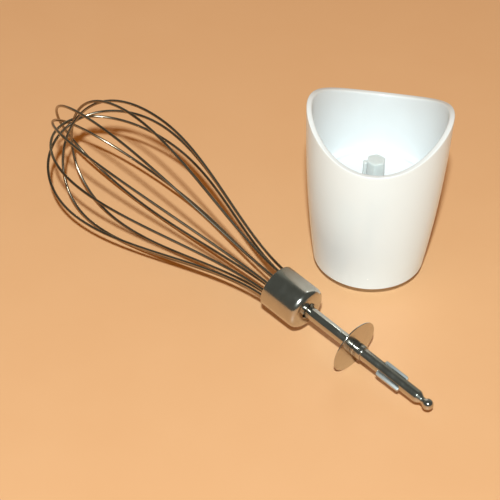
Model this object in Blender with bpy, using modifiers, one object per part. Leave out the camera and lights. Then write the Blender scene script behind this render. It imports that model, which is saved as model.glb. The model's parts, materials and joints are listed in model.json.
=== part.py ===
"""Whisk attachment of an immersion blender: a gearbox collar standing on its narrow end
and a balloon whisk lying beside it.  Metres, +Z up, origin at the middle of the footprint."""

import math
from collections import namedtuple

import bmesh
import bpy
from mathutils import Matrix, Vector

MM = 0.001
GAP = 0.2 * MM                      # room between pieces that touch

# ---- layout ---------------------------------------------------------------------------
WHISK_X = 28.34 * MM                # ferrule mouth, middle of the footprint at 0, 0
WHISK_Y = -30.9 * MM
WHISK_TILT = math.radians(6.8)      # shaft end low: the cage and the splash disc touch the table
COLLAR_X = WHISK_X + 5.47 * MM
COLLAR_Y = WHISK_Y + 60.08 * MM
NOSE_HEIGHT = 7.0 * MM              # the collar stands on a narrower nose ring under its wall

# ---- collar shell ---------------------------------------------------------------------
BASE_RADIUS = 26.8 * MM
TOP_RADIUS = 34.3 * MM
BULGE = 1.4 * MM                    # belly of the side wall at half height
RIM_HIGH = 87.1 * MM
RIM_MEAN = 79.9 * MM
RIM_FLATTEN = 0.4 * MM              # broadens the high points and the low ones alike
RIM_ANGLE = math.radians(35.4)      # direction of the two high points of the saddle mouth
WALL = 2.6 * MM
FOOT_ROUND = 0.5 * MM               # the wall's lower edge
COVER_SEAT_RADIUS = 24.2 * MM
FLOOR_TOP = 42.0 * MM
FLOOR_BOTTOM = 39.5 * MM
FLOOR_STEP_RADIUS = 25.6 * MM
FLOOR_STEP_HEIGHT = 1.6 * MM
SADDLE_START = 46.0 * MM
BEARING_BOSS_RADIUS = 10.6 * MM
BEARING_BOSS_BOTTOM = 36.8 * MM
SHELL_STEPS = 40
ROUND_STEPS = 24                    # bushes, sleeves and the hub

# ---- bottom cover, screws and bosses --------------------------------------------------
COVER_BOTTOM = 0.4 * MM
COVER_TOP = 3.0 * MM
COVER_HOLE_RADIUS = 5.6 * MM
NOSE_OUTER_RADIUS = 16.8 * MM
NOSE_INNER_RADIUS = 14.4 * MM       # the whisk's splash disc goes up inside the nose
NOSE_ROUND = 0.6 * MM
RING_SUPPORT_INNER = 16.6 * MM
RING_SUPPORT_OUTER = 18.6 * MM
SCREW_COUNT = 3
SCREW_CIRCLE = 21.4 * MM
SCREW_SHANK_RADIUS = 1.2 * MM
SCREW_HEAD_RADIUS = 2.3 * MM
SCREW_HEAD_HEIGHT = 1.5 * MM
SCREW_TIP = 13.0 * MM
BOSS_RADIUS = 2.5 * MM

# ---- planetary gears (24 / 12 / 48 teeth: 3 turns in, 1 turn out) ----------------------
MODULE = 0.7 * MM
SUN_TEETH = 24
PLANET_TEETH = 12
RING_TEETH = 48
PLANETS = 3
PRESSURE_ANGLE = math.radians(20)
ADDENDUM = 0.8 * MODULE
DEDENDUM = 1.15 * MODULE
BACKLASH = 0.16 * MM
PLANET_CIRCLE = MODULE * (SUN_TEETH + PLANET_TEETH) / 2
PLANET_START_ANGLE = math.radians(90)
GEAR_BOTTOM = 15.8 * MM
GEAR_TOP = 22.6 * MM
RING_BODY_RADIUS = 20.6 * MM
SUN_BORE_RADIUS = 6.3 * MM
SLEEVE_RADIUS = 7.4 * MM
SLEEVE_TOP = 32.8 * MM
PIN_RADIUS = 1.25 * MM
PIN_CLEARANCE = 0.1 * MM
PIN_TOP = 24.4 * MM

# ---- planet carrier and output hub ----------------------------------------------------
JOURNAL_RADIUS = 7.6 * MM
JOURNAL_BOTTOM = 3.6 * MM
CARRIER_RADIUS = 15.6 * MM
CARRIER_BOTTOM = 12.4 * MM
CARRIER_TOP = 15.2 * MM
HUB_RADIUS = 5.95 * MM
HUB_TOP = 31.6 * MM
SOCKET_RADIUS = 3.3 * MM
EAR_SLOT_WIDTH = 2.6 * MM
EAR_SLOT_RADIUS = 4.95 * MM
BUSH_CLEARANCE = 0.1 * MM
LOWER_BUSH_OUTER = 9.6 * MM
LOWER_BUSH_BOTTOM = 5.8 * MM
LOWER_BUSH_TOP = 11.8 * MM
COVER_BOSS_OUTER = 11.6 * MM
COVER_BOSS_TOP = 11.6 * MM
SEAL_BOTTOM = 3.3 * MM
SEAL_TOP = 5.5 * MM

# ---- drive post -----------------------------------------------------------------------
POST_NECK_RADIUS = 6.2 * MM
POST_FLANGE_RADIUS = 9.4 * MM
POST_FLANGE_TOP = 35.6 * MM
POST_HEX_RADIUS = 4.7 * MM
POST_TOP = 58.0 * MM
POST_NECK_TOP = 44.0 * MM
POST_KEY_REACH = 6.0 * MM
POST_KEY_WIDTH = 2.6 * MM
POST_KEY_TOP = 57.0 * MM
POST_BORE_RADIUS = 3.5 * MM
POST_BORE_TOP = 49.6 * MM
POST_TURN = math.radians(2.7)       # direction of one corner of the hexagon
POST_KEY_ANGLE = math.radians(227)
UPPER_BUSH_OUTER = 8.1 * MM
WASHER_OUTER = 9.2 * MM

# ---- whisk shaft, disc and ferrule (stations run along the shaft from the ferrule mouth) ----
SHAFT_RADIUS = 3.0 * MM
SHAFT_START = 6.0 * MM
SHAFT_SHOULDER = 89.2 * MM
NECK_RADIUS = 1.6 * MM
NECK_START = 91.5 * MM
NECK_END = 92.9 * MM
BALL_RADIUS = 2.65 * MM
BALL_STATION = 95.3 * MM
EAR_START = 66.8 * MM
EAR_END = 80.4 * MM
EAR_REACH = 4.2 * MM
EAR_THICKNESS = 1.8 * MM
EAR_INNER = 2.1 * MM                # the press leaves a pocket in the rod from here outwards
EAR_ANGLE = math.radians(24)
DISC_STATION = 49.6 * MM
DISC_RADIUS = 13.3 * MM
DISC_THICKNESS = 0.6 * MM
HUB_SLEEVE_RADIUS = 3.6 * MM
HUB_SLEEVE_LENGTH = 5.6 * MM
FERRULE_RADIUS = 10.8 * MM
FERRULE_LENGTH = 21.1 * MM
FERRULE_ROUND = 3.6 * MM
FERRULE_WALL = 0.7 * MM
CORE_RADIUS = 7.1 * MM
CRIMP_INNER = 8.9 * MM
PLUG_FACE = 1.4 * MM
PLUG_END = 15.6 * MM

# ---- wire loops -----------------------------------------------------------------------
WIRE_RADIUS = 0.7 * MM
WIRE_CIRCLE = 8.0 * MM              # the twelve wire ends stand on this circle
WIRE_END_DEPTH = 5.0 * MM
LOOP_SPACING = math.radians(30)
FIRST_LOOP_ANGLE = math.radians(51)
NECK_HANDLE = 0.32                  # bezier handles as shares of the stretch that they shape
BELLY_HANDLE = 0.32
SHOULDER_HANDLE = 0.61
TIP_HANDLE = 0.55
POINTS_PER_STRETCH = 13
Loop = namedtuple("Loop", "turn belly_a station_a belly_b station_b reach lean bend_a bend_b bend_tip")
# turn counts 30-degree steps round the shaft; the rest are millimetres.  Every loop has been
# bent a little by use, so its two bellies and its tip stand where these numbers put them.
LOOPS = (
    Loop(0, 31.0, 95.5, 34.0, 108.5, 142.0, 1.5, 6.0, -5.5, 2.0),
    Loop(-1, 29.5, 103.0, 34.5, 106.0, 146.0, -3.0, -1.5, -3.5, -2.0),
    Loop(1, 30.5, 102.5, 30.5, 101.5, 144.0, 0.5, 0.5, 1.5, -1.0),
    Loop(-2, 29.5, 94.0, 32.0, 104.5, 147.0, 3.0, 4.5, 0.0, 0.0),
    Loop(2, 30.5, 102.5, 30.0, 106.5, 154.0, -2.5, 1.0, 0.5, 0.5),
    Loop(-3, 31.0, 87.0, 31.0, 112.5, 149.0, 1.0, 0.0, -0.5, -1.0),
)


# ---- scene and materials --------------------------------------------------------------
for old in list(bpy.data.objects):
    bpy.data.objects.remove(old)


def collection(name):
    """A fresh collection linked to the scene."""
    made = bpy.data.collections.new(name)
    bpy.context.scene.collection.children.link(made)
    return made


PARTS = collection("whisk_attachment")
CUTTERS = collection("cutters")


def material(name, colour, roughness, metallic=0.0):
    """Principled material with one colour."""
    made = bpy.data.materials.new(name)
    made.use_nodes = True
    shader = made.node_tree.nodes["Principled BSDF"]
    shader.inputs["Base Color"].default_value = (*colour, 1.0)
    shader.inputs["Roughness"].default_value = roughness
    shader.inputs["Metallic"].default_value = metallic
    return made


WHITE_ABS = ((0.86, 0.87, 0.86), 0.25, 0.0)
NATURAL_POM = ((0.72, 0.75, 0.74), 0.4, 0.0)
GEAR_NYLON = ((0.80, 0.78, 0.70), 0.45, 0.0)
POLISHED_STEEL = ((0.62, 0.60, 0.57), 0.15, 1.0)
BRIGHT_WIRE = ((0.55, 0.54, 0.52), 0.22, 1.0)
SINTERED_STEEL = ((0.33, 0.33, 0.34), 0.5, 1.0)
ZINC_STEEL = ((0.60, 0.61, 0.62), 0.35, 1.0)
SINTERED_BRONZE = ((0.55, 0.36, 0.16), 0.45, 1.0)
BLACK_RUBBER = ((0.02, 0.02, 0.02), 0.7, 0.0)


def empty(name, location, rotation=(0.0, 0.0, 0.0)):
    """A frame that pieces are parented to."""
    made = bpy.data.objects.new(name, None)
    made.location = location
    made.rotation_euler = rotation
    PARTS.objects.link(made)
    return made


# ---- mesh helpers ---------------------------------------------------------------------
def place(name, data, finish, parent, location=(0.0, 0.0, 0.0), rotation=(0.0, 0.0, 0.0)):
    """One named piece with its own material."""
    made = bpy.data.objects.new(name, data)
    PARTS.objects.link(made)
    made.parent = parent
    made.location = location
    made.rotation_euler = rotation
    data.materials.clear()
    data.materials.append(material(name, *finish))
    return made


def smooth(mesh, angle=math.radians(35)):
    """Smooth shading with sharp edges kept."""
    mesh.shade_smooth()
    mesh.set_sharp_from_angle(angle=angle)


def solid_of(made, matrix=None):
    """Mesh of an object with its modifiers applied and its caps welded."""
    graph = bpy.context.evaluated_depsgraph_get()
    graph.update()
    mesh = bpy.data.meshes.new_from_object(made.evaluated_get(graph))
    cloth = bmesh.new()
    cloth.from_mesh(mesh)
    bmesh.ops.remove_doubles(cloth, verts=cloth.verts, dist=1e-6)
    if matrix is not None:
        cloth.transform(matrix)
    cloth.to_mesh(mesh)
    cloth.free()
    bpy.data.objects.remove(made)
    return mesh


def turned(profile, steps):
    """Mesh turned about Z from a profile that runs down its outer side."""
    mesh = bpy.data.meshes.new("profile")
    count = len(profile)
    on_axis = profile[0][0] == 0.0 and profile[-1][0] == 0.0
    edges = [(i, i + 1) for i in range(count - 1)]
    if not on_axis:
        edges.append((count - 1, 0))
    mesh.from_pydata([(r, 0.0, z) for r, z in profile], edges, [])
    made = bpy.data.objects.new("profile", mesh)
    bpy.context.scene.collection.objects.link(made)
    screw = made.modifiers.new("turn", 'SCREW')
    screw.axis = 'Z'
    screw.steps = steps
    screw.render_steps = steps
    screw.use_merge_vertices = True
    screw.merge_threshold = 1e-6
    return solid_of(made)


def extruded(outlines, bottom, top):
    """Mesh of a flat outline with holes, from bottom to top."""
    curve = bpy.data.curves.new("outline", 'CURVE')
    curve.dimensions = '2D'
    curve.fill_mode = 'BOTH'
    curve.extrude = (top - bottom) / 2
    for points in outlines:
        spline = curve.splines.new('POLY')
        spline.points.add(len(points) - 1)
        for point, (x, y) in zip(spline.points, points):
            point.co = (x, y, 0.0, 1.0)
        spline.use_cyclic_u = True
    made = bpy.data.objects.new("outline", curve)
    bpy.context.scene.collection.objects.link(made)
    return solid_of(made, Matrix.Translation((0.0, 0.0, (top + bottom) / 2)))


def tube(points, radius, resolution=1):
    """Round bar along points, with closed ends."""
    curve = bpy.data.curves.new("path", 'CURVE')
    curve.dimensions = '3D'
    curve.bevel_depth = radius
    curve.bevel_resolution = resolution
    curve.use_fill_caps = True
    spline = curve.splines.new('POLY')
    spline.points.add(len(points) - 1)
    for point, place_at in zip(spline.points, points):
        point.co = (*place_at, 1.0)
    made = bpy.data.objects.new("path", curve)
    bpy.context.scene.collection.objects.link(made)
    return solid_of(made)


def boolean(piece, cutter_mesh, operation, matrix=None):
    """Cut a tool mesh from a piece, or join it on; the tool stands in the piece's own frame."""
    tool = bpy.data.objects.new(piece.name + "_tool", cutter_mesh)
    CUTTERS.objects.link(tool)
    tool.parent = piece
    if matrix is not None:
        tool.matrix_local = matrix
    tool.hide_render = True
    tool.display_type = 'WIRE'
    change = piece.modifiers.new(operation.lower(), 'BOOLEAN')
    change.operation = operation
    change.solver = 'EXACT'
    change.object = tool
    return tool


def circle(radius, count, turn=0.0, centre=(0.0, 0.0)):
    """Points of a circle."""
    return [(centre[0] + radius * math.cos(turn + math.tau * i / count),
             centre[1] + radius * math.sin(turn + math.tau * i / count)) for i in range(count)]


def ring_profile(inner, outer, bottom, top):
    """Profile of a plain bush or washer."""
    return [(outer, top), (outer, bottom), (inner, bottom), (inner, top)]


def cylinder(radius, bottom, top, count):
    """Closed cylinder along Z."""
    cloth = bmesh.new()
    bmesh.ops.create_cone(cloth, cap_ends=True, segments=count, radius1=radius, radius2=radius,
                          depth=top - bottom, matrix=Matrix.Translation((0, 0, (top + bottom) / 2)))
    mesh = bpy.data.meshes.new("cylinder")
    cloth.to_mesh(mesh)
    cloth.free()
    return mesh


def block(low, high):
    """Closed box between two corners."""
    size = [b - a for a, b in zip(low, high)]
    middle = [(a + b) / 2 for a, b in zip(low, high)]
    cloth = bmesh.new()
    bmesh.ops.create_cube(cloth, size=1.0, matrix=Matrix.Translation(middle) @ Matrix.Diagonal((*size, 1.0)))
    mesh = bpy.data.meshes.new("block")
    cloth.to_mesh(mesh)
    cloth.free()
    return mesh


def joined(meshes):
    """One mesh of several separate tool shapes."""
    cloth = bmesh.new()
    for mesh in meshes:
        cloth.from_mesh(mesh)
    result = bpy.data.meshes.new("tools")
    cloth.to_mesh(result)
    cloth.free()
    return result


# ---- frames ---------------------------------------------------------------------------
COLLAR = empty("collar_axis", (COLLAR_X, COLLAR_Y, NOSE_HEIGHT))
DISC_LIFT = (DISC_RADIUS * math.cos(WHISK_TILT)
             + (DISC_STATION + DISC_THICKNESS) * math.sin(WHISK_TILT))
WHISK = empty("whisk_axis", (WHISK_X, WHISK_Y, DISC_LIFT), (0.0, WHISK_TILT, 0.0))
SCREW_ANGLES = [PLANET_START_ANGLE + math.pi / 3 + math.tau * i / SCREW_COUNT for i in range(SCREW_COUNT)]
PLANET_ANGLES = [PLANET_START_ANGLE + math.tau * i / PLANETS for i in range(PLANETS)]


# ---- collar ---------------------------------------------------------------------------
def side_radius(z):
    """Outer radius of the collar at height z."""
    share = z / RIM_HIGH
    return BASE_RADIUS + (TOP_RADIUS - BASE_RADIUS) * share + BULGE * 4 * share * (1 - share)


def collar_shell():
    """Tapered cup with an inner floor; its mouth rises and falls twice round the rim."""
    outer = [(side_radius(z), z) for z in (RIM_MEAN, 70 * MM, 58 * MM, SADDLE_START, 34 * MM, 20 * MM, 8 * MM)]
    edge = side_radius(FOOT_ROUND)
    foot = [(edge, FOOT_ROUND), (edge - FOOT_ROUND * 0.3, FOOT_ROUND * 0.3), (edge - FOOT_ROUND, 0.0)]
    inner_low = [(side_radius(z) - WALL, z) for z in (6 * MM, 20 * MM, FLOOR_BOTTOM)]
    hole = UPPER_BUSH_OUTER + GAP
    floor = [(BEARING_BOSS_RADIUS, FLOOR_BOTTOM), (BEARING_BOSS_RADIUS, BEARING_BOSS_BOTTOM),
             (hole, BEARING_BOSS_BOTTOM), (hole, FLOOR_TOP), (FLOOR_STEP_RADIUS, FLOOR_TOP),
             (FLOOR_STEP_RADIUS + 0.6 * MM, FLOOR_TOP + FLOOR_STEP_HEIGHT)]
    inner_high = [(side_radius(z) - WALL, z) for z in (FLOOR_TOP + FLOOR_STEP_HEIGHT, SADDLE_START,
                                                       58 * MM, 70 * MM, RIM_MEAN)]
    profile = outer + foot + [(COVER_SEAT_RADIUS, 0.0), (COVER_SEAT_RADIUS, 4.4 * MM)] + inner_low + floor + inner_high
    mesh = turned(profile, SHELL_STEPS)
    for vertex in mesh.vertices:
        x, y, z = vertex.co
        if z <= SADDLE_START + 1e-6:
            continue
        angle = math.atan2(y, x)
        outside = math.hypot(x, y) > side_radius(z) - WALL / 2
        rise = (RIM_HIGH - RIM_MEAN) * math.cos(2 * (angle - RIM_ANGLE))
        rise += RIM_FLATTEN * math.cos(4 * (angle - RIM_ANGLE))
        z += rise * (z - SADDLE_START) / (RIM_MEAN - SADDLE_START)
        radius = side_radius(z) - (0.0 if outside else WALL)
        vertex.co = (radius * math.cos(angle), radius * math.sin(angle), z)
    smooth(mesh)
    shell = place("collar_shell", mesh, WHITE_ABS, COLLAR)
    bosses = []
    pilots = []
    for angle in SCREW_ANGLES:
        spot = Matrix.Translation((SCREW_CIRCLE * math.cos(angle), SCREW_CIRCLE * math.sin(angle), 0.0))
        boss = cylinder(BOSS_RADIUS, COVER_TOP + 1.0 * MM, FLOOR_BOTTOM + 1.0 * MM, 12)
        boss.transform(spot)
        bosses.append(boss)
        pilot = cylinder(SCREW_SHANK_RADIUS + GAP, 0.0, SCREW_TIP + 1.0 * MM, 12)
        pilot.transform(spot)
        pilots.append(pilot)
    boolean(shell, joined(bosses), 'UNION')
    boolean(shell, joined(pilots), 'DIFFERENCE')


def bottom_cover():
    """Disc that closes the gearbox: a nose ring below, the lower bearing boss and a ring gear seat above."""
    seat = LOWER_BUSH_OUTER + GAP
    profile = [(RING_SUPPORT_OUTER, GEAR_BOTTOM - GAP), (RING_SUPPORT_OUTER, COVER_TOP),
               (COVER_SEAT_RADIUS - GAP, COVER_TOP), (COVER_SEAT_RADIUS - GAP, COVER_BOTTOM),
               (NOSE_OUTER_RADIUS, COVER_BOTTOM), (NOSE_OUTER_RADIUS, NOSE_ROUND - NOSE_HEIGHT),
               (NOSE_OUTER_RADIUS - NOSE_ROUND * 0.3, NOSE_ROUND * 0.3 - NOSE_HEIGHT),
               (NOSE_OUTER_RADIUS - NOSE_ROUND, -NOSE_HEIGHT), (NOSE_INNER_RADIUS, -NOSE_HEIGHT),
               (NOSE_INNER_RADIUS, COVER_BOTTOM), (COVER_HOLE_RADIUS, COVER_BOTTOM), (COVER_HOLE_RADIUS, COVER_TOP), (seat, COVER_TOP),
               (seat, COVER_BOSS_TOP), (COVER_BOSS_OUTER, COVER_BOSS_TOP),
               (COVER_BOSS_OUTER, COVER_TOP), (RING_SUPPORT_INNER, COVER_TOP),
               (RING_SUPPORT_INNER, GEAR_BOTTOM - GAP)]
    mesh = turned(profile, SHELL_STEPS)
    smooth(mesh)
    cover = place("bottom_cover", mesh, WHITE_ABS, COLLAR)
    step = COVER_BOTTOM + 0.2 * MM + SCREW_HEAD_HEIGHT
    shank = SCREW_SHANK_RADIUS + GAP
    head = SCREW_HEAD_RADIUS + GAP
    holes = []
    for angle in SCREW_ANGLES:
        hole = turned([(0.0, COVER_TOP + 1.0 * MM), (shank, COVER_TOP + 1.0 * MM), (shank, step), (head, step),
                       (head, COVER_BOTTOM - 1.0 * MM), (0.0, COVER_BOTTOM - 1.0 * MM)], 16)
        hole.transform(Matrix.Translation((SCREW_CIRCLE * math.cos(angle), SCREW_CIRCLE * math.sin(angle), 0.0)))
        holes.append(hole)
    boolean(cover, joined(holes), 'DIFFERENCE')


def cover_screws():
    """Pan-head screws with a cross recess, up through the cover into the shell's bosses."""
    head_bottom = COVER_BOTTOM + 0.1 * MM
    head_top = head_bottom + SCREW_HEAD_HEIGHT
    profile = [(0.0, SCREW_TIP), (SCREW_SHANK_RADIUS * 0.4, SCREW_TIP), (SCREW_SHANK_RADIUS, SCREW_TIP - 1.2 * MM),
               (SCREW_SHANK_RADIUS, head_top), (SCREW_HEAD_RADIUS, head_top),
               (SCREW_HEAD_RADIUS, head_bottom + 0.5 * MM), (SCREW_HEAD_RADIUS - 0.6 * MM, head_bottom),
               (0.0, head_bottom)]
    for number, angle in enumerate(SCREW_ANGLES, start=1):
        mesh = turned(profile, 12)
        smooth(mesh)
        spot = (SCREW_CIRCLE * math.cos(angle), SCREW_CIRCLE * math.sin(angle), 0.0)
        screw = place(f"cover_screw_{number}", mesh, ZINC_STEEL, COLLAR, spot)
        arm = 1.3 * MM
        slot = 0.3 * MM
        low = head_bottom - 0.5 * MM
        high = head_bottom + 0.8 * MM
        boolean(screw, block((-arm, -slot, low), (arm, slot, high)), 'DIFFERENCE')
        boolean(screw, block((-slot, -arm, low), (slot, arm, high)), 'DIFFERENCE')


# ---- gears ----------------------------------------------------------------------------
def involute(angle):
    """Involute function."""
    return math.tan(angle) - angle


def tooth_outline(teeth, low, high, thicken, phase):
    """Outline of a gear between two radii; thicken widens each tooth at the pitch circle."""
    pitch = MODULE * teeth / 2
    base = pitch * math.cos(PRESSURE_ANGLE)
    half_at_pitch = math.pi / (2 * teeth) + thicken / (2 * pitch)
    points = []
    for tooth in range(teeth):
        middle = phase + math.tau * tooth / teeth
        flank = []
        for radius in (low, pitch, high):
            slope = math.acos(min(1.0, base / max(radius, base)))
            half = half_at_pitch + involute(PRESSURE_ANGLE) - involute(slope)
            flank.append((radius, half))
        for radius, half in flank:
            points.append((radius * math.cos(middle - half), radius * math.sin(middle - half)))
        for radius, half in reversed(flank):
            points.append((radius * math.cos(middle + half), radius * math.sin(middle + half)))
    return points


def external_gear(teeth, phase):
    """Outline of a gear with teeth outside."""
    pitch = MODULE * teeth / 2
    return tooth_outline(teeth, pitch - DEDENDUM, pitch + ADDENDUM, -BACKLASH / 2, phase)


def ring_gear():
    """Fixed ring with teeth inside; its body is notched round the screw bosses."""
    pitch = MODULE * RING_TEETH / 2
    gaps = tooth_outline(RING_TEETH, pitch - ADDENDUM, pitch + DEDENDUM, BACKLASH / 2, math.pi / RING_TEETH)
    mesh = extruded([circle(RING_BODY_RADIUS, 48), gaps], GEAR_BOTTOM, GEAR_TOP + 1.2 * MM)
    ring = place("ring_gear", mesh, GEAR_NYLON, COLLAR)
    notches = []
    for angle in SCREW_ANGLES:
        notch = cylinder(BOSS_RADIUS + GAP, GEAR_BOTTOM - 1.0 * MM, GEAR_TOP + 3.0 * MM, 16)
        notch.transform(Matrix.Translation((SCREW_CIRCLE * math.cos(angle), SCREW_CIRCLE * math.sin(angle), 0.0)))
        notches.append(notch)
    boolean(ring, joined(notches), 'DIFFERENCE')


def sun_gear():
    """Hollow gear on a sleeve that hangs from the drive post, round the output hub."""
    teeth = extruded([external_gear(SUN_TEETH, 0.0), circle(SUN_BORE_RADIUS, ROUND_STEPS)], GEAR_BOTTOM, GEAR_TOP)
    gear = place("sun_gear", teeth, GEAR_NYLON, COLLAR)
    sleeve = turned(ring_profile(SUN_BORE_RADIUS, SLEEVE_RADIUS, GEAR_TOP - 1.0 * MM, SLEEVE_TOP), ROUND_STEPS)
    boolean(gear, sleeve, 'UNION')


def planet_gears():
    """Three planets, each with its bore on its own pin."""
    half_tooth = math.pi / PLANET_TEETH
    for number, angle in enumerate(PLANET_ANGLES, start=1):
        spot = (PLANET_CIRCLE * math.cos(angle), PLANET_CIRCLE * math.sin(angle), 0.0)
        bore = circle(PIN_RADIUS + PIN_CLEARANCE, 20)
        mesh = extruded([external_gear(PLANET_TEETH, half_tooth), bore], GEAR_BOTTOM, GEAR_TOP)
        place(f"planet_gear_{number}", mesh, GEAR_NYLON, COLLAR, spot)
        low = CARRIER_BOTTOM
        pin = turned([(0.0, PIN_TOP), (PIN_RADIUS - 0.3 * MM, PIN_TOP), (PIN_RADIUS, PIN_TOP - 0.3 * MM),
                      (PIN_RADIUS, low), (0.0, low)], 20)
        smooth(pin)
        place(f"planet_pin_{number}", pin, POLISHED_STEEL, COLLAR, spot)


def planet_carrier():
    """Journal, plate and output hub in one piece, with two slots for the whisk's ears."""
    profile = [(HUB_RADIUS, HUB_TOP), (HUB_RADIUS, CARRIER_TOP), (CARRIER_RADIUS, CARRIER_TOP),
               (CARRIER_RADIUS, CARRIER_BOTTOM), (JOURNAL_RADIUS, CARRIER_BOTTOM),
               (JOURNAL_RADIUS, JOURNAL_BOTTOM), (SOCKET_RADIUS, JOURNAL_BOTTOM), (SOCKET_RADIUS, HUB_TOP)]
    mesh = turned(profile, ROUND_STEPS)
    smooth(mesh)
    carrier = place("planet_carrier", mesh, SINTERED_STEEL, COLLAR)
    low = JOURNAL_BOTTOM - 1.0 * MM
    high = EAR_SLOT_TOP
    slot = block((-EAR_SLOT_RADIUS, -EAR_SLOT_WIDTH / 2, low), (EAR_SLOT_RADIUS, EAR_SLOT_WIDTH / 2, high))
    boolean(carrier, slot, 'DIFFERENCE')
    holes = []
    for angle in PLANET_ANGLES:
        hole = cylinder(PIN_RADIUS + GAP, CARRIER_BOTTOM - 1.0 * MM, CARRIER_TOP + 1.0 * MM, 16)
        hole.transform(Matrix.Translation((PLANET_CIRCLE * math.cos(angle), PLANET_CIRCLE * math.sin(angle), 0.0)))
        holes.append(hole)
    boolean(carrier, joined(holes), 'DIFFERENCE')


# the ears reach this high in the hub when the splash disc is right up inside the nose
EAR_SLOT_TOP = EAR_END - DISC_STATION + 1.0 * MM


def bearings():
    """Lower and upper bush, shaft seal and thrust washer."""
    rings = (
        ("lower_bush", JOURNAL_RADIUS + BUSH_CLEARANCE, LOWER_BUSH_OUTER, LOWER_BUSH_BOTTOM, LOWER_BUSH_TOP,
         SINTERED_BRONZE),
        ("shaft_seal", JOURNAL_RADIUS + BUSH_CLEARANCE, LOWER_BUSH_OUTER, SEAL_BOTTOM, SEAL_TOP, BLACK_RUBBER),
        ("upper_bush", POST_NECK_RADIUS + BUSH_CLEARANCE, UPPER_BUSH_OUTER, BEARING_BOSS_BOTTOM + 0.3 * MM,
         FLOOR_TOP + 0.4 * MM, SINTERED_BRONZE),
        ("thrust_washer", POST_NECK_RADIUS + GAP, WASHER_OUTER, POST_FLANGE_TOP + GAP,
         BEARING_BOSS_BOTTOM - GAP, ZINC_STEEL),
    )
    for name, inner, outer, bottom, top, finish in rings:
        mesh = turned(ring_profile(inner, outer, bottom, top), ROUND_STEPS)
        smooth(mesh)
        place(name, mesh, finish, COLLAR)


def drive_post():
    """Flange over the sun gear's sleeve, a round neck in the upper bush and a hexagonal post with a key."""
    inside = SLEEVE_RADIUS + GAP
    profile = [(POST_NECK_RADIUS, POST_NECK_TOP), (POST_NECK_RADIUS, POST_FLANGE_TOP),
               (POST_FLANGE_RADIUS, POST_FLANGE_TOP), (POST_FLANGE_RADIUS, SLEEVE_TOP - 4.0 * MM),
               (inside, SLEEVE_TOP - 4.0 * MM), (inside, SLEEVE_TOP + GAP), (POST_BORE_RADIUS, SLEEVE_TOP + GAP),
               (POST_BORE_RADIUS, POST_NECK_TOP)]
    mesh = turned(profile, ROUND_STEPS)
    post = place("drive_post", mesh, NATURAL_POM, COLLAR)
    hexagon = extruded([circle(POST_HEX_RADIUS, 6, POST_TURN)], POST_NECK_TOP - 1.0 * MM, POST_TOP)
    boolean(post, hexagon, 'UNION')
    key = block((0.0, -POST_KEY_WIDTH / 2, POST_NECK_TOP - 0.5 * MM), (POST_KEY_REACH, POST_KEY_WIDTH / 2, POST_KEY_TOP))
    boolean(post, key, 'UNION', Matrix.Rotation(POST_KEY_ANGLE, 4, 'Z'))
    boolean(post, cylinder(POST_BORE_RADIUS, SLEEVE_TOP, POST_BORE_TOP, 24), 'DIFFERENCE')


def ball_clip():
    """Open spring ring inside the post that snaps over the whisk's ball."""
    middle = NECK_START + (NECK_END - NECK_START) / 2 - DISC_STATION
    bar = 0.4 * MM
    radius = POST_BORE_RADIUS - GAP - bar
    opening = math.radians(50)
    count = 18
    points = [(radius * math.cos(opening / 2 + (math.tau - opening) * i / (count - 1)),
               radius * math.sin(opening / 2 + (math.tau - opening) * i / (count - 1)), middle)
              for i in range(count)]
    mesh = tube(points, bar)
    smooth(mesh)
    place("ball_clip", mesh, BRIGHT_WIRE, COLLAR)


# ---- whisk ----------------------------------------------------------------------------
ALONG_SHAFT = Matrix.Rotation(math.pi / 2, 4, 'Y')      # turned pieces: Z becomes the shaft's +X


def along_shaft(mesh):
    """Lay a piece turned about Z along the shaft."""
    mesh.transform(ALONG_SHAFT)
    return mesh


def whisk_shaft():
    """Rod with two pressed ears, a neck and a ball end."""
    arc = [(BALL_RADIUS * math.sin(a), BALL_STATION + BALL_RADIUS * math.cos(a))
           for a in (math.radians(20 * i) for i in range(1, 8))]
    profile = [(0.0, BALL_STATION + BALL_RADIUS)] + arc + [
        (NECK_RADIUS, NECK_END), (NECK_RADIUS, NECK_START), (SHAFT_RADIUS * 0.75, SHAFT_SHOULDER + 0.7 * MM),
        (SHAFT_RADIUS, SHAFT_SHOULDER - 0.6 * MM), (SHAFT_RADIUS, SHAFT_START), (0.0, SHAFT_START)]
    mesh = along_shaft(turned(profile, 24))
    smooth(mesh)
    shaft = place("whisk_shaft", mesh, POLISHED_STEEL, WHISK)
    turn = Matrix.Rotation(EAR_ANGLE, 4, 'X')
    ears = extruded([plate_outline(-EAR_REACH, EAR_REACH)], -EAR_THICKNESS / 2, EAR_THICKNESS / 2)
    pockets = []
    for side in (1, -1):
        low, high = sorted((side * EAR_INNER, side * (EAR_REACH + 1.0 * MM)))
        for face in (1, -1):
            bottom, top = sorted((face * EAR_THICKNESS / 2, face * (SHAFT_RADIUS + 1.0 * MM)))
            pockets.append(extruded([plate_outline(low, high)], bottom, top))
    boolean(shaft, joined(pockets), 'DIFFERENCE', turn)
    boolean(shaft, ears, 'UNION', turn)


def plate_outline(low, high):
    """Outline with rounded corners between the ears' two stations, low and high across the rod."""
    corner = 0.95 * MM
    points = []
    for x, y, quarter in ((EAR_END, high, 0), (EAR_START, high, 1), (EAR_START, low, 2), (EAR_END, low, 3)):
        centre_x = x - corner if x == EAR_END else x + corner
        centre_y = y - corner if y == high else y + corner
        for step in range(4):
            angle = math.pi / 2 * (quarter + step / 3)
            points.append((centre_x + corner * math.cos(angle), centre_y + corner * math.sin(angle)))
    return points


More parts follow.
